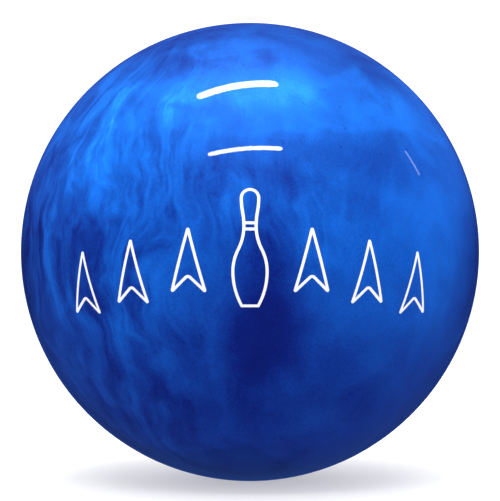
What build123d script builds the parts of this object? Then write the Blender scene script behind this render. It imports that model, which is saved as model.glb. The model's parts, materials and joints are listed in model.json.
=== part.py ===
from build123d import *
from math import asin, cos, degrees, radians, sin
import os

# A cast bowling ball, drilled and fitted for a right-handed player.
# Millimetres. The origin is the ball's centre, +Z is up and the emblem faces -Y.
# The grip is on the far side, with the two finger holes above the thumb hole.

# Ball
ball_diameter = 217.2
cover_thickness = 20.0

# Weight block: a bulb of dense resin on the pin's axis, with its places
# measured along that axis from the ball's centre
block_head_radius = 31.0
block_head_centre = 24.0
block_waist_radius = 19.0
block_base_radius = 26.0
block_base_top = -34.0
block_base_bottom = -50.0
block_edge_radius = 5.0

# Locator pin, which held the weight block in the mould
pin_diameter = 8.0
pin_seat_depth = 3.0

# Centre-of-gravity mark: a round punch mark filled with paint
cg_mark_diameter = 4.0
cg_mark_depth = 1.2

# Grip layout: where its centre looks, in degrees, and its sizes along the surface
grip_azimuth = 205.0
grip_elevation = 5.0
grip_span = 111.0  # from the finger bores' edges to the thumb bore's edge
pin_above_fingers = 36.0  # from the finger row up to the locator pin

# Finger inserts: soft tubes glued into flat-bottomed pockets
finger_insert_diameter = 24.6
finger_insert_length = 25.4
finger_web = 2.0  # filler left between the two pockets at their floors
finger_bore_diameter = 20.6
finger_lip_radius = 1.5

# Thumb slug: a plug glued into its pocket and then bored for the thumb
thumb_slug_diameter = 31.75
thumb_slug_length = 70.0
thumb_bore_diameter = 25.4
thumb_bore_depth = 63.0
thumb_lip_radius = 2.4

# Fits
glue_line = 0.1  # all round between an insert and its pocket
rim_recess = 0.3  # an insert's rim below the ball's surface
rim_edge_radius = 0.3

# Emblem: white paint in grooves
stroke_width = 1.3
groove_depth = 0.9
paint_recess = 0.12
emblem_elevation = 1.0  # degrees above the equator
pin_figure_height = 50.0
pin_figure_belly = 15.6
pin_figure_belly_height = 15.0
pin_figure_neck = 6.4
pin_figure_neck_height = 34.0
pin_figure_head = 8.6
pin_figure_base = 7.6
neck_band_pitch = 2.6
dart_width = 17.0
dart_height = 31.0
dart_notch = 8.0
dart_corner_radius = 0.8
darts_each_side = 3
dart_pitch = 26.5  # from one dart to the next along the surface
dart_drop = 5.0  # each dart below the one nearer the middle

# How far cutting tools run past what they cut
overrun = 2.0
figure_reach = 6.0  # below the surface at a figure's own centre

ball_radius = ball_diameter / 2
core_radius = ball_radius - cover_thickness
rim_radius = ball_radius - rim_recess
grip_arc = grip_span + finger_bore_diameter / 2 + thumb_bore_diameter / 2
finger_pocket_diameter = finger_insert_diameter + 2 * glue_line
thumb_pocket_diameter = thumb_slug_diameter + 2 * glue_line
finger_floor = rim_radius - finger_insert_length
thumb_floor = rim_radius - thumb_slug_length
pin_floor = block_head_centre + block_head_radius - pin_seat_depth


def arc_angle(length):
    """Degrees at the ball's centre for a length along its surface."""
    return degrees(length / ball_radius)


def facing(azimuth, elevation):
    """A plane at the ball's centre that looks out towards one place on the surface.

    Azimuth 0 is -Y and 90 is +X. The plane's x runs level and its y runs up.
    """
    turn = radians(azimuth)
    rise = radians(elevation)
    outward = (sin(turn) * cos(rise), -cos(turn) * cos(rise), sin(rise))
    return Plane(origin=(0, 0, 0), x_dir=(cos(turn), sin(turn), 0), z_dir=outward)


def beside(row, angle):
    """The row's plane turned sideways, towards its own x, about the ball's centre."""
    turn = radians(angle)
    outward = row.z_dir * cos(turn) + row.x_dir * sin(turn)
    return Plane(origin=(0, 0, 0), x_dir=row.y_dir.cross(outward), z_dir=outward)


finger_elevation = grip_elevation + arc_angle(grip_arc) / 2
finger_side = degrees(asin((finger_pocket_diameter + finger_web) / 2 / finger_floor))
finger_row = facing(grip_azimuth, finger_elevation)
middle_finger_axis = beside(finger_row, -finger_side)
ring_finger_axis = beside(finger_row, finger_side)
thumb_axis = facing(grip_azimuth, grip_elevation - arc_angle(grip_arc) / 2)
pin_axis = facing(grip_azimuth, finger_elevation + arc_angle(pin_above_fingers))
grip_centre_axis = facing(grip_azimuth, grip_elevation)


def round_hole(axis_plane, diameter, floor):
    """What a drill takes out, from the floor's distance to the centre outwards."""
    with BuildPart() as hole:
        with BuildSketch(axis_plane.offset(floor)):
            Circle(diameter / 2)
        extrude(amount=ball_radius + overrun - floor)
    return hole.part


pockets = [
    round_hole(middle_finger_axis, finger_pocket_diameter, finger_floor),
    round_hole(ring_finger_axis, finger_pocket_diameter, finger_floor),
    round_hole(thumb_axis, thumb_pocket_diameter, thumb_floor),
]
pin_channel = round_hole(pin_axis, pin_diameter, pin_floor)


# Weight block as it is cast: base disc, waist and round head
with BuildPart() as cast_block:
    with BuildSketch(pin_axis.offset(block_base_bottom)):
        Circle(block_base_radius)
    extrude(amount=block_base_top - block_base_bottom)
    fillet(cast_block.edges().filter_by(GeomType.CIRCLE), radius=block_edge_radius)
    with BuildSketch(pin_axis.offset(block_base_top)):
        Circle(block_waist_radius)
    extrude(amount=block_head_centre - block_base_top)
    with Locations(pin_axis.offset(block_head_centre)):
        Sphere(block_head_radius)

# Weight block as it is in the ball, with the pin's seat, drilled where a pocket meets it
with BuildPart() as weight_block:
    add(cast_block.part)
    add(pin_channel, mode=Mode.SUBTRACT)
    for pocket in pockets:
        add(pocket, mode=Mode.SUBTRACT)
weight_block.part.label = "weight_block"


# Filler core: the ball that is cast round the weight block
with BuildPart() as filler_core:
    Sphere(core_radius)
    add(cast_block.part, mode=Mode.SUBTRACT)
    add(pin_channel, mode=Mode.SUBTRACT)
    for pocket in pockets:
        add(pocket, mode=Mode.SUBTRACT)
filler_core.part.label = "filler_core"


# Locator pin: from its seat in the weight block to the ball's surface
with BuildPart() as locator_pin:
    add(pin_channel)
    Sphere(ball_radius, mode=Mode.INTERSECT)
locator_pin.part.label = "locator_pin"


def grip_insert(axis_plane, diameter, length, bore_diameter, bore_depth, lip_radius):
    """A round insert in its pocket, with its rim following the ball and a rounded mouth."""
    section = Plane(origin=(0, 0, 0), x_dir=axis_plane.x_dir, z_dir=-axis_plane.y_dir)
    with BuildPart() as insert:
        with BuildSketch(section) as profile:
            with Locations((0, rim_radius - length)):
                Rectangle(diameter / 2, length, align=(Align.MIN, Align.MIN))
            with Locations((0, rim_radius - bore_depth)):
                Rectangle(
                    bore_diameter / 2,
                    bore_depth,
                    align=(Align.MIN, Align.MIN),
                    mode=Mode.SUBTRACT,
                )
            Circle(rim_radius, mode=Mode.INTERSECT)
            mouth, outside = profile.vertices().sort_by(Axis.Y)[-2:].sort_by(Axis.X)
            fillet(mouth, radius=lip_radius)
            fillet(outside, radius=rim_edge_radius)
        revolve(axis=Axis(origin=(0, 0, 0), direction=axis_plane.z_dir))
    return insert


# Finger inserts, open at both ends
finger_sizes = (
    finger_insert_diameter,
    finger_insert_length,
    finger_bore_diameter,
    finger_insert_length,
    finger_lip_radius,
)
middle_finger_insert = grip_insert(middle_finger_axis, *finger_sizes)
middle_finger_insert.part.label = "middle_finger_insert"
ring_finger_insert = grip_insert(ring_finger_axis, *finger_sizes)
ring_finger_insert.part.label = "ring_finger_insert"

# Thumb slug, closed at the bottom
thumb_slug = grip_insert(
    thumb_axis,
    thumb_slug_diameter,
    thumb_slug_length,
    thumb_bore_diameter,
    thumb_bore_depth,
    thumb_lip_radius,
)
thumb_slug.part.label = "thumb_slug"


# Bands under the surface: what a groove takes out, and what its paint fills
with BuildPart() as groove_band:
    Sphere(ball_radius + overrun)
    Sphere(ball_radius - groove_depth, mode=Mode.SUBTRACT)

with BuildPart() as paint_band:
    Sphere(ball_radius - paint_recess)
    Sphere(ball_radius - groove_depth, mode=Mode.SUBTRACT)


def between(start, end):
    """The point halfway, where two equal arcs of an S-bend meet."""
    return ((start[0] + end[0]) / 2, (start[1] + end[1]) / 2)


def pin_figure(figure_plane):
    """The outline of a standing pin with two bands round its neck, as a sketch."""
    foot = (pin_figure_base / 2, -pin_figure_height / 2)
    belly = (pin_figure_belly / 2, foot[1] + pin_figure_belly_height)
    neck = (pin_figure_neck / 2, foot[1] + pin_figure_neck_height)
    head = (pin_figure_head / 2, foot[1] + pin_figure_height - pin_figure_head / 2)
    with BuildSketch(Plane.XY) as outline:
        with BuildLine():
            TangentArc(belly, foot, tangent=(0, -1))
            waist = TangentArc(belly, between(belly, neck), tangent=(0, 1))
            TangentArc(waist @ 1, neck, tangent=waist % 1)
            throat = TangentArc(neck, between(neck, head), tangent=(0, 1))
            TangentArc(throat @ 1, head, tangent=throat % 1)
            TangentArc(head, (0, pin_figure_height / 2), tangent=(0, 1))
            mirror(about=Plane.YZ)
            Line((-foot[0], foot[1]), foot)
        make_face()
    with BuildSketch(Plane.XY) as bands:
        with Locations(neck):
            with GridLocations(0, neck_band_pitch, 1, 2):
                Rectangle(2 * pin_figure_belly, stroke_width)
        add(outline.sketch, mode=Mode.INTERSECT)
    with BuildSketch(figure_plane) as figure:
        add(outline.sketch)
        offset(amount=-stroke_width, mode=Mode.SUBTRACT)
        add(bands.sketch)
    return figure.sketch


def dart_figure(figure_plane):
    """The outline of a notched lane dart that points up, as a sketch."""
    with BuildSketch(figure_plane) as figure:
        with BuildLine():
            Polyline(
                (0, dart_height / 2),
                (dart_width / 2, -dart_height / 2),
                (0, dart_notch - dart_height / 2),
                (-dart_width / 2, -dart_height / 2),
                close=True,
            )
        make_face()
        fillet(figure.vertices(), radius=dart_corner_radius)
        offset(amount=-stroke_width, mode=Mode.SUBTRACT)
    return figure.sketch


def dart_places():
    """Planes for the darts, from the middle outwards on each side."""
    for number in range(1, darts_each_side + 1):
        drop = arc_angle(number * dart_drop)
        for side in (-1, 1):
            yield facing(side * arc_angle(number * dart_pitch), emblem_elevation - drop)


def figure_band(figures, band):
    """The part of a band that lies under each figure."""
    with BuildPart() as strokes:
        for figure in figures:
            extrude(figure, amount=figure_reach + overrun)
        add(band, mode=Mode.INTERSECT)
    return strokes


figure_base = ball_radius - figure_reach
pin_sketches = [pin_figure(facing(0, emblem_elevation).offset(figure_base))]
dart_sketches = [dart_figure(place.offset(figure_base)) for place in dart_places()]

pin_emblem_paint = figure_band(pin_sketches, paint_band.part)
pin_emblem_paint.part.label = "pin_emblem_paint"
lane_dart_paint = figure_band(dart_sketches, paint_band.part)
lane_dart_paint.part.label = "lane_dart_paint"
grooves = [
    figure_band(pin_sketches, groove_band.part).part,
    figure_band(dart_sketches, groove_band.part).part,
]

# Centre-of-gravity mark, in the middle of the grip
cg_floor = ball_radius - cg_mark_depth
cg_punch = round_hole(grip_centre_axis, cg_mark_diameter, cg_floor)
with BuildPart() as cg_mark_paint:
    add(cg_punch)
    Sphere(ball_radius - paint_recess, mode=Mode.INTERSECT)
cg_mark_paint.part.label = "cg_mark_paint"


# Coverstock: the pearl shell, drilled, punched and engraved
with BuildPart() as coverstock:
    Sphere(ball_radius)
    Sphere(core_radius, mode=Mode.SUBTRACT)
    for tool in (*pockets, pin_channel, cg_punch, *grooves):
        add(tool, mode=Mode.SUBTRACT)
coverstock.part.label = "coverstock"


os.makedirs("parts", exist_ok=True)
export_step(coverstock.part, "parts/coverstock.step")
export_step(filler_core.part, "parts/filler_core.step")
export_step(weight_block.part, "parts/weight_block.step")
export_step(locator_pin.part, "parts/locator_pin.step")
export_step(middle_finger_insert.part, "parts/middle_finger_insert.step")
export_step(ring_finger_insert.part, "parts/ring_finger_insert.step")
export_step(thumb_slug.part, "parts/thumb_slug.step")
export_step(pin_emblem_paint.part, "parts/pin_emblem_paint.step")
export_step(lane_dart_paint.part, "parts/lane_dart_paint.step")
export_step(cg_mark_paint.part, "parts/cg_mark_paint.step")
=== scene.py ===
import json
from math import asin, cos, pi, radians, sin, sqrt, tan

import bmesh
import bpy
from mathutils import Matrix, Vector


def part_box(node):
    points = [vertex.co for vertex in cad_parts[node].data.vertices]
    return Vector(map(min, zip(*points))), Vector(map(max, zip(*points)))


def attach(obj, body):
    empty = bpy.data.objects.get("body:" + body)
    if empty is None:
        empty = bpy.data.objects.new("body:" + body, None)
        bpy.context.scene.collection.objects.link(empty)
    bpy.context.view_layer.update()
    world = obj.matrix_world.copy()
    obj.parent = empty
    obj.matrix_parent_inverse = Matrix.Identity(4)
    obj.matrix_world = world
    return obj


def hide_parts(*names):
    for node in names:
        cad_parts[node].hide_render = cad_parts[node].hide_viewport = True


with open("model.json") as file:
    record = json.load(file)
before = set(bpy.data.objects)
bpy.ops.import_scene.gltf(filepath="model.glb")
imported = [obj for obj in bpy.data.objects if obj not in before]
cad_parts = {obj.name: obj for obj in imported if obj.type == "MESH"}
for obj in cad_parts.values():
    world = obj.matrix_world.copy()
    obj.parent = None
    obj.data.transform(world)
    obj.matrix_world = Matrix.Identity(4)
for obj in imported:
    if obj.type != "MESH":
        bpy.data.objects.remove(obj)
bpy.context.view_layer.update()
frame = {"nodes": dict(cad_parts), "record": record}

# A polished pearl bowling ball, drilled and fitted.
# Metres. The ball's centre is the origin, +Z is up and the emblem faces -Y.
MM = 0.001

# Sizes that the frame gives
ball_radius = min(abs(side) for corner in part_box("coverstock") for side in corner)
core_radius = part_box("filler_core")[1].z
mounts = {mount["name"]: mount for mount in frame["record"]["mounts"]}

# Finger inserts and thumb slug, and the pockets that they are glued into
finger_insert_radius = 12.3 * MM
finger_insert_length = 25.4 * MM
finger_lip = 1.5 * MM
thumb_slug_radius = 15.875 * MM
thumb_slug_length = 70.0 * MM
thumb_lip = 2.4 * MM
slug_floor = 7.0 * MM
slug_floor_round = 2.0 * MM
foot_chamfer = 0.8 * MM
glue_line = 0.1 * MM
rim_recess = 0.3 * MM
rim_edge = 0.3 * MM
pocket_bevel = 0.4 * MM

# Locator pin and centre-of-gravity mark
pin_radius = 4.0 * MM
pin_length = 56.6 * MM
pin_bond = 0.02 * MM
mark_radius = 2.0 * MM
mark_depth = 1.2 * MM
mark_dimple = 0.25 * MM
paint_recess = 0.12 * MM

# Patterns in the cast and moulded pieces, by the size of what they draw, or by its width
# and length along the pour. The mica, the rubber's grain and the boring rings are coarser
# than the real ones, so that they show.
eddy_size = 42.0 * MM
cloud_size = 60.0 * MM
mottle_size = 22.0 * MM
mica_size = 0.9 * MM
wisp_size = (17.0 * MM, 60.0 * MM)
feather_size = (5.0 * MM, 34.0 * MM)
fleck_size = (2.2 * MM, 5.0 * MM)
filler_bubble = 1.5 * MM
barite_grain = 2.0 * MM
pin_swirl = 3.0 * MM
wiping_mark = 1.2 * MM
rubber_grain = 0.5 * MM
boring_pitch = 0.8 * MM
sanding_dust = 1.0 * MM

# Meshes
overrun = 2.0 * MM
weld = 0.001 * MM
on_surface = 0.02 * MM
groove_split = 0.4 * MM
outside_steps = 7
inside_steps = 5
turned_steps = 128
arc_steps = 8
sharp_edge = radians(30)

# Camera and studio
camera_reach = 8.0
ball_share = 0.9149
ball_below_middle = 0.0029
sensor = 36.0
air_strength = 1.3
floor_half = 4.0
floor_glow = 0.45
fill_place = (0, -0.3, 1.4)
fill_size = (1.6, 1.6)
fill_power = 12.0
strip_height = 1.5
strip_radiance = 25.0
back_strip = ((-0.46, -0.175), (0.20, -0.065))
back_strip_width = 0.11
front_strip = ((-0.60, -1.335), (0.43, -1.245))
front_strip_width = 0.095
streak_place = (2.1, 0.45, 1.15)
streak_size = (0.045, 0.36)
streak_power = 0.17


def hex_colour(code):
    """An sRGB hex colour as linear red, green, blue and alpha."""
    channels = [int(code[i : i + 2], 16) / 255 for i in (0, 2, 4)]
    linear = [c / 12.92 if c <= 0.04045 else ((c + 0.055) / 1.055) ** 2.4 for c in channels]
    return (*linear, 1.0)


def add_node(tree, kind, inputs=None, stops=None, **settings):
    """Adds a node with its settings, its input values or links, and a ramp's stops."""
    node = tree.nodes.new(kind)
    for name, value in settings.items():
        setattr(node, name, value)
    for name, value in (inputs or {}).items():
        if isinstance(value, bpy.types.NodeSocket):
            tree.links.new(value, node.inputs[name])
        else:
            node.inputs[name].default_value = value
    for number, (place, colour) in enumerate(stops or []):
        elements = node.color_ramp.elements
        if number == 0:
            elements.remove(elements[1])
        stop = elements.new(place) if number else elements[0]
        stop.position = place
        stop.color = hex_colour(colour)
    return node


def cells(size):
    """A pattern's scale, in cells to a ball's radius, for features of a size."""
    return ball_radius / size


# ---------------------------------------------------------------- materials


def start_material(name):
    """A new node material, with its tree, its shader and the object's own coordinates."""
    material = bpy.data.materials.new(name)
    material.use_nodes = True
    tree = material.node_tree
    shader = tree.nodes["Principled BSDF"]
    place = add_node(tree, "ShaderNodeTexCoord").outputs["Object"]
    return material, tree, shader, place


def cast_pearl_resin():
    """Clear resin poured with blue mica, cast and polished: deep wisps under a hard gloss.
    Its colour also holds painted light, shade and reflections.
    """
    material, tree, shader, place = start_material("cast_pearl_resin")

    # The place on the ball, in ball radii, and its parts
    spot = add_node(
        tree, "ShaderNodeVectorMath", {0: place, "Scale": 1 / ball_radius}, operation="SCALE"
    ).outputs["Vector"]
    parts = add_node(tree, "ShaderNodeSeparateXYZ", {0: spot}).outputs

    # The resin flowed down from the top, so its wisps run along the meridians
    across = add_node(
        tree, "ShaderNodeVectorMath", {0: spot, 1: (1, 1, 0)}, operation="MULTIPLY"
    ).outputs["Vector"]
    girth = add_node(
        tree, "ShaderNodeVectorMath", {0: across}, operation="LENGTH"
    ).outputs["Value"]
    girth = add_node(tree, "ShaderNodeMath", {0: girth, 1: 0.5}, operation="MAXIMUM").outputs[0]
    share = add_node(tree, "ShaderNodeMath", {0: 1.0, 1: girth}, operation="DIVIDE").outputs[0]
    around = add_node(
        tree, "ShaderNodeVectorMath", {0: across, "Scale": share}, operation="SCALE"
    ).outputs["Vector"]

    # Slow turns in the pour, as a push to each side
    eddy = add_node(
        tree,
        "ShaderNodeTexNoise",
        {"Vector": spot, "Scale": cells(eddy_size), "Detail": 2.0, "Roughness": 0.5},
    ).outputs["Color"]
    eddy = add_node(
        tree, "ShaderNodeVectorMath", {0: eddy, 1: (0.5, 0.5, 0.5)}, operation="SUBTRACT"
    ).outputs["Vector"]

    def streaks(size, curl, detail, offset):
        """Noise drawn out along the flow, for features of a width and a length. The eddies
        bend it by its curl, and its offset makes it differ from the others.
        """
        width, length = size
        drop = add_node(
            tree, "ShaderNodeMath", {0: parts["Z"], 1: width / length}, operation="MULTIPLY"
        ).outputs[0]
        flow = add_node(tree, "ShaderNodeCombineXYZ", {"X": offset, "Y": offset, "Z": drop})
        flow = add_node(
            tree, "ShaderNodeVectorMath", {0: around, 1: flow.outputs[0]}, operation="ADD"
        ).outputs["Vector"]
        flow = add_node(
            tree,
            "ShaderNodeVectorMath",
            {0: eddy, 1: (curl, curl, curl / 4), 2: flow},
            operation="MULTIPLY_ADD",
        ).outputs["Vector"]
        return add_node(
            tree,
            "ShaderNodeTexNoise",
            {
                "Vector": flow,
                "Scale": cells(width),
                "Detail": detail,
                "Roughness": 0.55,
                "Distortion": 0.5,
            },
        ).outputs["Fac"]

    def away_from(centre, reach):
        """How far a place is from a cloud in the pour or a patch of painted light, as a share of
        its reaches.
        """
        away = add_node(
            tree,
            "ShaderNodeVectorMath",
            {0: eddy, 1: (0.35, 0.35, 0.35), 2: spot},
            operation="MULTIPLY_ADD",
        ).outputs["Vector"]
        away = add_node(
            tree, "ShaderNodeVectorMath", {0: away, 1: centre}, operation="SUBTRACT"
        ).outputs["Vector"]
        away = add_node(
            tree, "ShaderNodeVectorMath", {0: away, 1: reach}, operation="DIVIDE"
        ).outputs["Vector"]
        return add_node(
            tree, "ShaderNodeVectorMath", {0: away}, operation="LENGTH"
        ).outputs["Value"]

    def add_layers(base, layers):
        """Adds layers to a base. A layer is a value, the range that it fades over, what it
        adds at the range's two ends, and how strongly it shows.
        """
        for value, fade, ends, strength in layers:
            shift = add_node(
                tree,
                "ShaderNodeMapRange",
                {
                    "Value": value,
                    "From Min": fade[0],
                    "From Max": fade[1],
                    "To Min": ends[0],
                    "To Max": ends[1],
                },
                interpolation_type="SMOOTHSTEP",
            ).outputs["Result"]
            base = add_node(
                tree, "ShaderNodeMath", {0: shift, 1: strength, 2: base}, operation="MULTIPLY_ADD"
            ).outputs[0]
        return base

    cloud, mottle, mica = (
        add_node(
            tree,
            "ShaderNodeTexNoise",
            {"Vector": spot, "Scale": cells(size), "Detail": 4.0, "Distortion": curl},
        ).outputs["Fac"]
        for size, curl in ((cloud_size, 0.6), (mottle_size, 0.4), (mica_size, 0.0))
    )
    wisps = streaks(wisp_size, 0.5, 3.0, 0.0)
    feathers = streaks(feather_size, 0.3, 4.0, 5.0)
    flecks = streaks(fleck_size, 0.2, 2.0, 9.0)

    # Wisps are strong on the pour side, where they fade to the top and the bottom, and
    # again in a flare behind the emblem
    pour_side = 1.0
    for value, fade, ends in (
        (parts["X"], (0.05, -0.45), (0.12, 1.0)),
        (parts["Z"], (0.45, 0.9), (1.0, 0.5)),
        (parts["Z"], (-0.6, 0.1), (0.45, 1.0)),
    ):
        pour_side = add_layers(0.0, [(value, fade, ends, pour_side)])
    flare = away_from((0.12, -1.0, 0.16), (0.5, 0.6, 0.24))
    pour_side = add_layers(pour_side, [(flare, (0.25, 1.25), (0.5, 0.0), 1.0)])
    mottled = add_layers(0.0, [(parts["Z"], (0.2, 0.7), (0.35, 1.0), 1.0)])
    flecked = add_layers(0.0, [(parts["Z"], (0.2, 0.5), (0.0, 1.0), 1.0)])

    # A painted reflection of a ceiling's edge: a line across the ball, bowed by the eddies,
    # with a lighter band above it
    bow = add_node(
        tree, "ShaderNodeVectorMath", {0: eddy, 1: (0.0, 0.0, 0.25)}, operation="DOT_PRODUCT"
    ).outputs["Value"]
    painted_reflection_edge = add_node(tree, "ShaderNodeMath", {0: parts["Z"], 1: bow}).outputs[0]

    # Tone, from navy at 0 to pale azure at 1: by height and by noise.
    # The height layers are painted light and shade: lighter towards the top and darker
    # towards the bottom, a faint painted reflection of a bright ceiling above the middle,
    # and painted shade that darkens the very top.
    tone = add_layers(
        0.0,
        [
            (parts["Z"], (-0.95, 0.2), (0.24, 0.52), 1.0),
            (parts["Z"], (0.36, 0.6), (0.0, 0.04), 1.0),
            (parts["Z"], (0.64, 0.82), (0.0, -0.2), 1.0),
            (painted_reflection_edge, (0.47, 0.51), (0.0, 0.08), 1.0),
            (cloud, (0.2, 0.8), (-0.08, 0.08), 1.0),
            (mottle, (0.275, 0.725), (-0.12, 0.12), mottled),
            (wisps, (0.275, 0.725), (-0.18, 0.18), pour_side),
            (feathers, (0.2, 0.8), (-0.12, 0.12), pour_side),
            (flecks, (0.66, 0.74), (0.0, -0.16), flecked),
            (mica, (0.3, 0.7), (-0.035, 0.035), 1.0),
        ],
    )

    # Clouds in the pour and patches of painted light: centre and reach in ball radii, and what
    # each adds in its middle. The first is a painted highlight under the ceiling lamps; the
    # second and third are a painted reflection of a wall, darker under the ceiling's edge and
    # lighter at the right; the sixth is a painted reflection of a dark shape in front of the
    # ball; the last two are painted shade at the ball's left and right edges as seen from the
    # front camera. The fourth and fifth are clouds in the pour.
    clouds_and_painted_light = [
        ((0.04, -0.8, 0.58), (0.45, 0.5, 0.27), 0.08),
        ((0.3, -0.85, 0.33), (0.6, 0.5, 0.22), -0.12),
        ((0.6, -0.8, -0.1), (0.42, 0.6, 0.5), 0.1),
        ((-0.6, -0.7, 0.33), (0.22, 0.5, 0.2), 0.1),
        ((-0.55, -0.85, -0.06), (0.3, 0.5, 0.2), -0.07),
        ((0.04, -0.95, -0.25), (0.17, 0.5, 0.55), -0.24),
        ((-1.0, 0.0, 0.0), (0.2, 0.8, 0.5), -0.22),
        ((1.0, 0.0, -0.05), (0.14, 0.8, 0.4), -0.2),
    ]
    for centre, reach, depth in clouds_and_painted_light:
        tone = add_layers(tone, [(away_from(centre, reach), (0.25, 1.25), (depth, 0.0), 1.0)])
    colour = add_node(
        tree,
        "ShaderNodeValToRGB",
        {"Fac": tone},
        stops=[
            (0.0, "000664"),
            (0.18, "001e80"),
            (0.34, "053ca1"),
            (0.5, "0956c0"),
            (0.64, "0e6adc"),
            (0.78, "127bf4"),
            (0.9, "2094ff"),
            (1.0, "5cb8ff"),
        ],
    ).outputs["Color"]
    tree.links.new(colour, shader.inputs["Base Color"])
    shader.inputs["Metallic"].default_value = 0.2
    shader.inputs["Roughness"].default_value = 0.5
    shader.inputs["IOR"].default_value = 1.5
    shader.inputs["Specular IOR Level"].default_value = 0.1
    shader.inputs["Coat Weight"].default_value = 1.0
    shader.inputs["Coat Roughness"].default_value = 0.015
    shader.inputs["Coat IOR"].default_value = 1.5
    return material


def cast_filler_resin():
    """Filled polyester resin, cast and left rough: chalky grey, mottled by fine bubbles."""
    material, tree, shader, place = start_material("cast_filler_resin")
    grain = add_node(
        tree, "ShaderNodeTexNoise", {"Vector": place, "Scale": 1 / filler_bubble, "Detail": 4.0}
    ).outputs["Fac"]
    colour = add_node(
        tree,
        "ShaderNodeValToRGB",
        {"Fac": grain},
        stops=[(0.35, "8d897f"), (0.65, "b9b4a8")],
    ).outputs["Color"]
    bump = add_node(
        tree, "ShaderNodeBump", {"Height": grain, "Strength": 0.4, "Distance": 0.2 * MM}
    ).outputs["Normal"]
    tree.links.new(colour, shader.inputs["Base Color"])
    tree.links.new(bump, shader.inputs["Normal"])
    shader.inputs["Roughness"].default_value = 0.85
    return material


def cast_weight_resin():
    """Resin loaded with barite, cast: dense brick red with pale mineral grains."""
    material, tree, shader, place = start_material("cast_weight_resin")
    grains = add_node(
        tree, "ShaderNodeTexVoronoi", {"Vector": place, "Scale": 1 / barite_grain}
    ).outputs["Distance"]
    colour = add_node(
        tree,
        "ShaderNodeValToRGB",
        {"Fac": grains},
        stops=[(0.05, "b98f80"), (0.3, "7d2c22")],
    ).outputs["Color"]
    tree.links.new(colour, shader.inputs["Base Color"])
    shader.inputs["Roughness"].default_value = 0.7
    return material


def cast_pin_resin():
    """Yellow polyester, cast in and polished with the ball: milky, with a faint swirl."""
    material, tree, shader, place = start_material("cast_pin_resin")
    swirl = add_node(
        tree,
        "ShaderNodeTexNoise",
        {"Vector": place, "Scale": 1 / pin_swirl, "Detail": 3.0, "Distortion": 1.2},
    ).outputs["Fac"]
    colour = add_node(
        tree,
        "ShaderNodeValToRGB",
        {"Fac": swirl},
        stops=[(0.3, "e0a41c"), (0.7, "f3c447")],
    ).outputs["Color"]
    tree.links.new(colour, shader.inputs["Base Color"])
    shader.inputs["Roughness"].default_value = 0.25
    shader.inputs["Coat Weight"].default_value = 1.0
    shader.inputs["Coat Roughness"].default_value = 0.02
    return material


def wiped_enamel_paint():
    """White enamel wiped into the engraving: bright satin with faint wiping marks."""
    material, tree, shader, place = start_material("wiped_enamel_paint")
    marks = add_node(
        tree,
        "ShaderNodeTexNoise",
        {"Vector": place, "Scale": 1 / wiping_mark, "Detail": 3.0},
    ).outputs["Fac"]
    colour = add_node(
        tree,
        "ShaderNodeValToRGB",
        {"Fac": marks},
        stops=[(0.3, "f4f6fa"), (0.7, "ffffff")],
    ).outputs["Color"]
    bump = add_node(
        tree, "ShaderNodeBump", {"Height": marks, "Strength": 0.2, "Distance": 0.03 * MM}
    ).outputs["Normal"]
    tree.links.new(colour, shader.inputs["Base Color"])
    tree.links.new(bump, shader.inputs["Normal"])
    shader.inputs["Roughness"].default_value = 0.35
    return material


def moulded_soft_rubber():
    """Soft vinyl rubber, moulded: black with a fine matt grain that grips the finger."""
    material, tree, shader, place = start_material("moulded_soft_rubber")
    grain = add_node(
        tree, "ShaderNodeTexNoise", {"Vector": place, "Scale": 1 / rubber_grain, "Detail": 2.0}
    ).outputs["Fac"]
    colour = add_node(
        tree,
        "ShaderNodeValToRGB",
        {"Fac": grain},
        stops=[(0.3, "29292c"), (0.7, "3b3b40")],
    ).outputs["Color"]
    bump = add_node(
        tree, "ShaderNodeBump", {"Height": grain, "Strength": 0.5, "Distance": 0.06 * MM}
    ).outputs["Normal"]
    tree.links.new(colour, shader.inputs["Base Color"])
    tree.links.new(bump, shader.inputs["Normal"])
    shader.inputs["Roughness"].default_value = 0.6
    return material


def bored_urethane():
    """Hard urethane, bored and sanded: charcoal with fine rings from the boring bar."""
    material, tree, shader, place = start_material("bored_urethane")
    axis = Vector(mounts["thumb_bore"]["axis"]).normalized()
    depth = add_node(
        tree, "ShaderNodeVectorMath", {0: place, 1: axis}, operation="DOT_PRODUCT"
    ).outputs["Value"]
    turns = add_node(
        tree, "ShaderNodeMath", {0: depth, 1: 2 * pi / boring_pitch}, operation="MULTIPLY"
    ).outputs[0]
    rings = add_node(tree, "ShaderNodeMath", {0: turns}, operation="SINE").outputs[0]
    dust = add_node(
        tree, "ShaderNodeTexNoise", {"Vector": place, "Scale": 1 / sanding_dust, "Detail": 3.0}
    ).outputs["Fac"]
    colour = add_node(
        tree,
        "ShaderNodeValToRGB",
        {"Fac": dust},
        stops=[(0.3, "3a3c42"), (0.7, "53565e")],
    ).outputs["Color"]
    bump = add_node(
        tree, "ShaderNodeBump", {"Height": rings, "Strength": 0.25, "Distance": 0.05 * MM}
    ).outputs["Normal"]
    tree.links.new(colour, shader.inputs["Base Color"])
    tree.links.new(bump, shader.inputs["Normal"])
    shader.inputs["Roughness"].default_value = 0.4
    return material


pearl = cast_pearl_resin()
filler_resin = cast_filler_resin()
paint = wiped_enamel_paint()
pin_resin = cast_pin_resin()
rubber = moulded_soft_rubber()
urethane = bored_urethane()


# ---------------------------------------------------------------- turned pieces


def axis_of(node):
    """The way a round CAD node faces, out from the ball's centre."""
    low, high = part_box(node)
    return (low + high).normalized()


def arc(centre, radius, start, end):
    """Points on an arc, between two angles in radians from straight away from the axis."""
    turns = [start + (end - start) * step / arc_steps for step in range(arc_steps + 1)]
    return [(centre[0] + radius * cos(turn), centre[1] + radius * sin(turn)) for turn in turns]


def level_at(away, radius):
    """How far along the axis a sphere about the ball's centre is, that far from the axis."""
    return sqrt(radius**2 - away**2)


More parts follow.
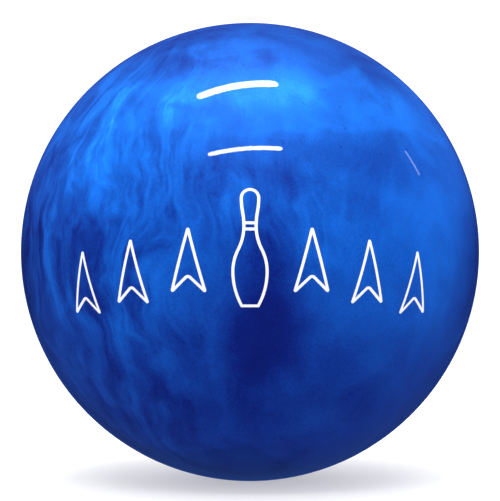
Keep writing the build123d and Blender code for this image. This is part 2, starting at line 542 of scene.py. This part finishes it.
def turned_mesh(name, turnings):
    """A mesh of pieces turned about axes through the ball's centre.

    A turning is (axis, outline, is_tube). The outline's points are (distance from the
    axis, distance along it). A tube's outline closes on itself, and any other outline
    starts and ends on the axis.
    """
    work = bmesh.new()
    for axis, outline, is_tube in turnings:
        side = axis.orthogonal().normalized()
        other = axis.cross(side)
        rings = []
        for away, along in outline:
            if away == 0:
                rings.append([work.verts.new(axis * along)] * turned_steps)
                continue
            rings.append([])
            for step in range(turned_steps):
                turn = radians(360 * step / turned_steps)
                out = side * cos(turn) + other * sin(turn)
                rings[-1].append(work.verts.new(axis * along + out * away))
        pairs = list(zip(rings, rings[1:] + rings[:1] if is_tube else rings[1:]))
        for lower, upper in pairs:
            for step in range(turned_steps):
                after = (step + 1) % turned_steps
                corners = (lower[step], lower[after], upper[after], upper[step])
                work.faces.new(list(dict.fromkeys(corners)))
    bmesh.ops.recalc_face_normals(work, faces=work.faces)
    mesh = bpy.data.meshes.new(name)
    work.to_mesh(mesh)
    work.free()
    return mesh


def rim_outline(bore, outside, lip):
    """A rounded mouth, a rim that follows the ball, and a rounded outside edge."""
    rim = ball_radius - rim_recess
    lip_centre = (bore + lip, level_at(bore + lip, rim - lip))
    edge_centre = (outside - rim_edge, level_at(outside - rim_edge, rim - rim_edge))
    lip_end = radians(90) - asin(lip_centre[0] / (rim - lip))
    edge_start = radians(90) - asin(edge_centre[0] / (rim - rim_edge))
    return arc(lip_centre, lip, radians(180), lip_end) + arc(edge_centre, rim_edge, edge_start, 0)


def drill_outline(radius, floor, bevel):
    """What a drill takes out down to a floor, with a bevel where it meets the surface."""
    rim = level_at(radius, ball_radius)
    outline = [(0, floor), (radius, floor)]
    if bevel:
        outline.append((radius, rim - bevel))
    outline.append((radius + (bevel + overrun if bevel else 0), rim + overrun))
    return outline + [(0, rim + overrun)]


def dome_outline(radius, floor, top):
    """A plug from its floor up to a cap that follows a sphere about the ball's centre."""
    reach = asin(radius / top)
    turns = [reach * (1 - step / arc_steps) for step in range(arc_steps + 1)]
    cap = [(top * sin(turn), top * cos(turn)) for turn in turns[:-1]]
    return [(0, floor), (radius, floor), *cap, (0, top)]


def dot_outline(radius, floor, top):
    """A dot of paint in its punch mark, sunk a little in the middle as it dried."""
    steps = range(arc_steps, 0, -1)
    surface = [
        (radius * step / arc_steps, top - mark_dimple * (1 - (step / arc_steps) ** 2))
        for step in steps
    ]
    return [(0, floor), (radius, floor), *surface, (0, top - mark_dimple)]


def smooth_over(mesh, radius):
    """Shades a mesh smooth, with the exact normals where it lies on the ball's surface."""
    mesh.shade_smooth()
    mesh.set_sharp_from_angle(angle=sharp_edge)
    places = [vertex.co.copy() for vertex in mesh.vertices]
    outer = [abs(place.length - radius) < on_surface for place in places]
    normals = []
    for face in mesh.polygons:
        polished = all(outer[corner] for corner in face.vertices)
        for corner in face.vertices:
            normals.append(places[corner].normalized() if polished else Vector())
    mesh.normals_split_custom_set(normals)


def finish_piece(name, mesh, material, node):
    """Puts a mesh in the scene as a piece of the ball, in place of its CAD node."""
    mesh.materials.clear()
    mesh.materials.append(material)
    piece = bpy.data.objects.new(name, mesh)
    bpy.context.scene.collection.objects.link(piece)
    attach(piece, "root")
    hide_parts(node)


rim_radius = ball_radius - rim_recess
finger_floor = rim_radius - finger_insert_length
thumb_floor = rim_radius - thumb_slug_length
pin_axis = axis_of("locator_pin")
mark_axis = axis_of("cg_mark_paint")

for finger in ("middle_finger", "ring_finger"):
    bore = mounts[finger + "_bore"]
    bore_radius = bore["dims"]["r_mm"] * MM
    outline = [
        (bore_radius, finger_floor + foot_chamfer),
        *rim_outline(bore_radius, finger_insert_radius, finger_lip),
        (finger_insert_radius, finger_floor + foot_chamfer),
        (finger_insert_radius - foot_chamfer, finger_floor),
        (bore_radius + foot_chamfer / 2, finger_floor),
    ]
    mesh = turned_mesh(finger + "_grip", [(Vector(bore["axis"]).normalized(), outline, True)])
    smooth_over(mesh, ball_radius)
    finish_piece(finger + "_grip", mesh, rubber, finger + "_insert")

thumb_axis = Vector(mounts["thumb_bore"]["axis"]).normalized()
thumb_radius = mounts["thumb_bore"]["dims"]["r_mm"] * MM
bore_floor = thumb_floor + slug_floor
floor_corner = (thumb_radius - slug_floor_round, bore_floor + slug_floor_round)
slug_outline = [
    (0, bore_floor),
    *arc(floor_corner, slug_floor_round, radians(-90), 0),
    *rim_outline(thumb_radius, thumb_slug_radius, thumb_lip),
    (thumb_slug_radius, thumb_floor + foot_chamfer),
    (thumb_slug_radius - foot_chamfer, thumb_floor),
    (0, thumb_floor),
]
mesh = turned_mesh("bored_thumb_slug", [(thumb_axis, slug_outline, False)])
smooth_over(mesh, ball_radius)
finish_piece("bored_thumb_slug", mesh, urethane, "thumb_slug")

pin_outline = dome_outline(pin_radius, ball_radius - pin_length, ball_radius)
mesh = turned_mesh("polished_pin", [(pin_axis, pin_outline, False)])
smooth_over(mesh, ball_radius)
finish_piece("polished_pin", mesh, pin_resin, "locator_pin")

mark_top = ball_radius - paint_recess
mark_outline = dot_outline(mark_radius, ball_radius - mark_depth, mark_top)
mesh = turned_mesh("gravity_mark", [(mark_axis, mark_outline, False)])
smooth_over(mesh, ball_radius)
finish_piece("gravity_mark", mesh, paint, "cg_mark_paint")


# ---------------------------------------------------------------- cover and filler


def drills():
    """What the drills, the pin and the punch take out of the ball, as one hidden cutter."""
    turnings = [
        (pin_axis, drill_outline(pin_radius + pin_bond, ball_radius - pin_length, 0), False),
        (mark_axis, drill_outline(mark_radius, ball_radius - mark_depth, 0), False),
        (
            thumb_axis,
            drill_outline(thumb_slug_radius + glue_line, thumb_floor, pocket_bevel),
            False,
        ),
    ]
    for finger in ("middle_finger_bore", "ring_finger_bore"):
        axis = Vector(mounts[finger]["axis"]).normalized()
        outline = drill_outline(finger_insert_radius + glue_line, finger_floor, pocket_bevel)
        turnings.append((axis, outline, False))
    cutter = bpy.data.objects.new("drills", turned_mesh("drills", turnings))
    bpy.context.scene.collection.objects.link(cutter)
    return cutter


def start_shape(name, inputs):
    """A Geometry Nodes tree with named inputs: the tree, its sockets and their values."""
    tree = bpy.data.node_groups.new(name, "GeometryNodeTree")
    sockets = {}
    for label, kind in inputs.items():
        sockets[label] = tree.interface.new_socket(
            label, in_out="INPUT", socket_type="NodeSocket" + kind
        )
    tree.interface.new_socket("Geometry", in_out="OUTPUT", socket_type="NodeSocketGeometry")
    return tree, sockets, add_node(tree, "NodeGroupInput").outputs


def end_shape(tree, shape, finish):
    """Ends a tree with one plain mesh in its finish."""
    whole = add_node(tree, "GeometryNodeRealizeInstances", {0: shape})
    finished = add_node(
        tree, "GeometryNodeSetMaterial", {"Geometry": whole.outputs[0], "Material": finish}
    )
    add_node(tree, "NodeGroupOutput", {"Geometry": finished.outputs[0]})


def engraved_cover_tree():
    """Two spheres make the shell. The drills and the engraving are cut out of it."""
    tree, sockets, given = start_shape(
        "engraved_cover",
        {
            "Ball Radius": "Float",
            "Core Radius": "Float",
            "Outside Steps": "Int",
            "Inside Steps": "Int",
            "Drills": "Object",
            "Pin Strokes": "Object",
            "Dart Strokes": "Object",
            "Groove Split": "Float",
            "Overrun": "Float",
            "Weld": "Float",
            "Finish": "Material",
        },
    )
    outside = add_node(
        tree,
        "GeometryNodeMeshIcoSphere",
        {"Radius": given["Ball Radius"], "Subdivisions": given["Outside Steps"]},
    ).outputs["Mesh"]
    inside = add_node(
        tree,
        "GeometryNodeMeshIcoSphere",
        {"Radius": given["Core Radius"], "Subdivisions": given["Inside Steps"]},
    ).outputs["Mesh"]
    shell = add_node(tree, "GeometryNodeMeshBoolean", {0: outside, 1: inside}, solver="EXACT")
    drill = add_node(tree, "GeometryNodeObjectInfo", {"Object": given["Drills"]})
    tree.links.new(drill.outputs["Geometry"], shell.inputs[1])

    # A groove's cutter is its paint, with the top run out past the ball's surface
    spot = add_node(tree, "GeometryNodeInputPosition").outputs[0]
    reach = add_node(
        tree, "ShaderNodeVectorMath", {0: spot}, operation="LENGTH"
    ).outputs["Value"]
    split = add_node(
        tree,
        "ShaderNodeMath",
        {0: given["Ball Radius"], 1: given["Groove Split"]},
        operation="SUBTRACT",
    ).outputs[0]
    is_top = add_node(
        tree, "ShaderNodeMath", {0: reach, 1: split}, operation="GREATER_THAN"
    ).outputs[0]
    outward = add_node(tree, "ShaderNodeVectorMath", {0: spot}, operation="NORMALIZE")
    lift = add_node(
        tree,
        "ShaderNodeVectorMath",
        {0: outward.outputs[0], "Scale": given["Overrun"]},
        operation="SCALE",
    ).outputs["Vector"]
    for strokes in ("Pin Strokes", "Dart Strokes"):
        solid = add_node(tree, "GeometryNodeObjectInfo", {"Object": given[strokes]})
        solid = add_node(
            tree,
            "GeometryNodeMergeByDistance",
            {"Geometry": solid.outputs["Geometry"], "Distance": given["Weld"]},
        )
        cutter = add_node(
            tree,
            "GeometryNodeSetPosition",
            {"Geometry": solid.outputs[0], "Selection": is_top, "Offset": lift},
        )
        tree.links.new(cutter.outputs[0], shell.inputs[1])

    end_shape(tree, shell.outputs["Mesh"], given["Finish"])
    return tree, sockets


def drilled_filler_tree():
    """A sphere inside the cover, cast round the weight block and then drilled."""
    tree, sockets, given = start_shape(
        "drilled_filler",
        {
            "Core Radius": "Float",
            "Inside Steps": "Int",
            "Drills": "Object",
            "Weight Block": "Object",
            "Weld": "Float",
            "Finish": "Material",
        },
    )
    core = add_node(
        tree,
        "GeometryNodeMeshIcoSphere",
        {"Radius": given["Core Radius"], "Subdivisions": given["Inside Steps"]},
    ).outputs["Mesh"]
    drill = add_node(tree, "GeometryNodeObjectInfo", {"Object": given["Drills"]})
    block = add_node(tree, "GeometryNodeObjectInfo", {"Object": given["Weight Block"]})
    block = add_node(
        tree,
        "GeometryNodeMergeByDistance",
        {"Geometry": block.outputs["Geometry"], "Distance": given["Weld"]},
    )
    filler = add_node(
        tree, "GeometryNodeMeshBoolean", {0: core, 1: drill.outputs["Geometry"]}, solver="EXACT"
    )
    tree.links.new(block.outputs[0], filler.inputs[1])
    end_shape(tree, filler.outputs["Mesh"], given["Finish"])
    return tree, sockets


def plain_mesh(name, tree, sockets, values):
    """Runs a Geometry Nodes tree on an empty mesh and returns the result as a plain mesh."""
    carrier = bpy.data.objects.new(name, bpy.data.meshes.new(name))
    modifier = carrier.modifiers.new("shape", "NODES")
    modifier.node_group = tree
    for socket_name, value in values.items():
        modifier[sockets[socket_name].identifier] = value
    bpy.context.scene.collection.objects.link(carrier)
    graph = bpy.context.evaluated_depsgraph_get()
    mesh = bpy.data.meshes.new_from_object(carrier.evaluated_get(graph), depsgraph=graph)
    bpy.data.objects.remove(carrier)
    return mesh


cutter = drills()
cover_mesh = plain_mesh(
    "polished_cover",
    *engraved_cover_tree(),
    {
        "Ball Radius": ball_radius,
        "Core Radius": core_radius,
        "Outside Steps": outside_steps,
        "Inside Steps": inside_steps,
        "Drills": cutter,
        "Pin Strokes": frame["nodes"]["pin_emblem_paint"],
        "Dart Strokes": frame["nodes"]["lane_dart_paint"],
        "Groove Split": groove_split,
        "Overrun": overrun,
        "Weld": weld,
        "Finish": pearl,
    },
)
smooth_over(cover_mesh, ball_radius)
finish_piece("polished_cover", cover_mesh, pearl, "coverstock")

filler_mesh = plain_mesh(
    "drilled_filler",
    *drilled_filler_tree(),
    {
        "Core Radius": core_radius,
        "Inside Steps": inside_steps,
        "Drills": cutter,
        "Weight Block": frame["nodes"]["weight_block"],
        "Weld": weld,
        "Finish": filler_resin,
    },
)
smooth_over(filler_mesh, core_radius)
finish_piece("drilled_filler", filler_mesh, filler_resin, "filler_core")
bpy.data.objects.remove(cutter)

# CAD nodes whose shape is right as it is
for node, material in {
    "weight_block": cast_weight_resin(),
    "pin_emblem_paint": paint,
    "lane_dart_paint": paint,
}.items():
    frame["nodes"][node].data.materials.clear()
    frame["nodes"][node].data.materials.append(material)


# ---------------------------------------------------------------- studio


def pale_floor():
    """A white floor under the ball that the gloss and the shade don't pick up."""
    mesh = bpy.data.meshes.new("pale_floor")
    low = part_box("coverstock")[0].z
    sides = ((-1, -1), (1, -1), (1, 1), (-1, 1))
    corners = [(x * floor_half, y * floor_half, low) for x, y in sides]
    mesh.from_pydata(corners, [], [(0, 1, 2, 3)])
    floor = bpy.data.objects.new("pale_floor", mesh)
    bpy.context.scene.collection.objects.link(floor)
    material, tree, shader, place = start_material("pale_card")
    shader.inputs["Base Color"].default_value = hex_colour("d0d0d0")
    shader.inputs["Emission Color"].default_value = hex_colour("ffffff")
    shader.inputs["Emission Strength"].default_value = floor_glow
    shader.inputs["Roughness"].default_value = 0.9
    shader.inputs["Specular IOR Level"].default_value = 0.0
    mesh.materials.append(material)
    floor.visible_glossy = False
    floor.visible_diffuse = False


def area_lamp(name, place, target, size, power, in_gloss):
    """A flat lamp at a place, facing a target, with its width and depth in metres."""
    lamp = bpy.data.lights.new(name, "AREA")
    lamp.shape = "RECTANGLE"
    lamp.size, lamp.size_y = size
    lamp.energy = power
    thing = bpy.data.objects.new(name, lamp)
    bpy.context.scene.collection.objects.link(thing)
    thing.location = place
    facing = Vector(target) - Vector(place)
    thing.rotation_euler = facing.to_track_quat("-Z", "Y").to_euler()
    thing.visible_glossy = in_gloss
    thing.visible_camera = False
    return thing


def strip_lamp(name, start, end, width):
    """A long round-ended lamp in the ceiling, from one end to the other, facing down."""
    start, end = Vector((*start, strip_height)), Vector((*end, strip_height))
    run = end - start
    middle = (start + end) / 2
    up = Vector((0, 0, 1))
    power = strip_radiance * pi * run.length * width
    tube = area_lamp(name, middle, middle - up, (run.length, width), power, True)
    tube.rotation_euler = (0, 0, run.to_2d().angle_signed(Vector((1, 0))))
    power = strip_radiance * pi * pi * width**2 / 4
    for place in (start, end):
        cap = area_lamp(name + "_end", place, place - up, (width, width), power, True)
        cap.data.shape = "DISK"


def studio_air():
    """White to the camera. The shade sees a pale room, and the gloss a dim blue one."""
    world = bpy.data.worlds.new("studio_air")
    bpy.context.scene.world = world
    world.use_nodes = True
    tree = world.node_tree
    background = tree.nodes["Background"]
    way = add_node(tree, "ShaderNodeTexCoord").outputs["Generated"]
    height = add_node(tree, "ShaderNodeSeparateXYZ", {0: way}).outputs["Z"]
    height = add_node(
        tree, "ShaderNodeMapRange", {"Value": height, "From Min": -1.0, "From Max": 1.0}
    ).outputs["Result"]
    shade = add_node(
        tree,
        "ShaderNodeValToRGB",
        {"Fac": height},
        stops=[(0.0, "c8c8cc"), (0.5, "e4e4e8"), (1.0, "ffffff")],
    ).outputs["Color"]
    gloss = add_node(
        tree,
        "ShaderNodeValToRGB",
        {"Fac": height},
        stops=[
            (0.0, "24346a"),
            (0.25, "284488"),
            (0.5, "0a2468"),
            (0.62, "2444a0"),
            (0.85, "343c4c"),
            (1.0, "505458"),
        ],
    ).outputs["Color"]
    rays = add_node(tree, "ShaderNodeLightPath").outputs
    seen = add_node(
        tree,
        "ShaderNodeMix",
        {"Factor": rays["Is Glossy Ray"], 6: shade, 7: gloss},
        data_type="RGBA",
    ).outputs[2]
    seen = add_node(
        tree,
        "ShaderNodeMix",
        {"Factor": rays["Is Camera Ray"], 6: seen, 7: hex_colour("ffffff")},
        data_type="RGBA",
    ).outputs[2]
    tree.links.new(seen, background.inputs["Color"])
    background.inputs["Strength"].default_value = air_strength


def front_camera():
    """A long lens level with the ball's centre, with the ball filling most of the picture."""
    camera = bpy.data.cameras.new("front_camera")
    thing = bpy.data.objects.new("front_camera", camera)
    bpy.context.scene.collection.objects.link(thing)
    distance = camera_reach * ball_radius
    thing.location = (0, -distance, 0)
    thing.rotation_euler = (radians(90), 0, 0)
    half_view = tan(asin(ball_radius / distance)) / ball_share
    camera.sensor_width = sensor
    camera.lens = sensor / 2 / half_view
    camera.shift_y = ball_below_middle
    bpy.context.scene.camera = thing


pale_floor()
studio_air()
front_camera()
strip_lamp("ceiling_strip_back", *back_strip, back_strip_width)
strip_lamp("ceiling_strip_front", *front_strip, front_strip_width)
area_lamp("top_fill", fill_place, (0, 0, 0), fill_size, fill_power, False)
area_lamp("side_streak", streak_place, (0, 0, 0), streak_size, streak_power, True)
bpy.context.scene.view_settings.view_transform = "Standard"
